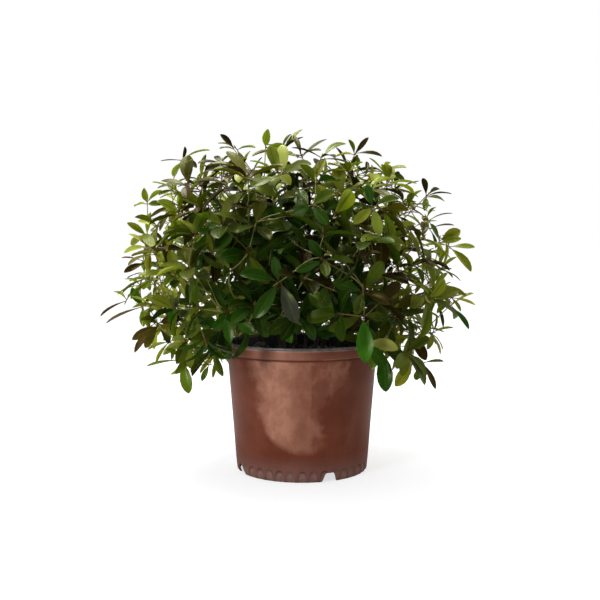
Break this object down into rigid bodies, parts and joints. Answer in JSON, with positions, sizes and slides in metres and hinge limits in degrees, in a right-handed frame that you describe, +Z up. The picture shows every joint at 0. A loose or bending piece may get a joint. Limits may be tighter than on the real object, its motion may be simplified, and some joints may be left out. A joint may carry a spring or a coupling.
{
  "type": "potted cleyera shrub",
  "caption": "Bushy evergreen shrub with glossy leathery leaves in whorls, growing in a tapered plastic nursery pot filled with bark mix.",
  "frame": {"origin": "on the floor, under the middle of the whole plant's bounding box; the pot's axis stands 28.5 mm towards +X and 2.5 mm towards -Y from it", "axes": "+Z up; -Y towards the viewer of the picture; +X to the viewer's right, along the crown's widest reach"},
  "size_m": [0.701, 0.6053, 0.6455],
  "materials": {
    "pot_plastic": "satin red-brown moulded plastic",
    "bark_mix": "rough dark composted bark",
    "leaf_green": "glossy leathery green leaves on brown twigs"
  },
  "bodies": {
    "root": {"pot": "pot_plastic", "potting_mix": "bark_mix", "leafy_stem_1": "leaf_green", "leafy_stem_2": "leaf_green", "leafy_stem_3": "leaf_green", "leafy_stem_4": "leaf_green", "leafy_stem_5": "leaf_green", "leafy_stem_6": "leaf_green"}
  },
  "joints": []
}
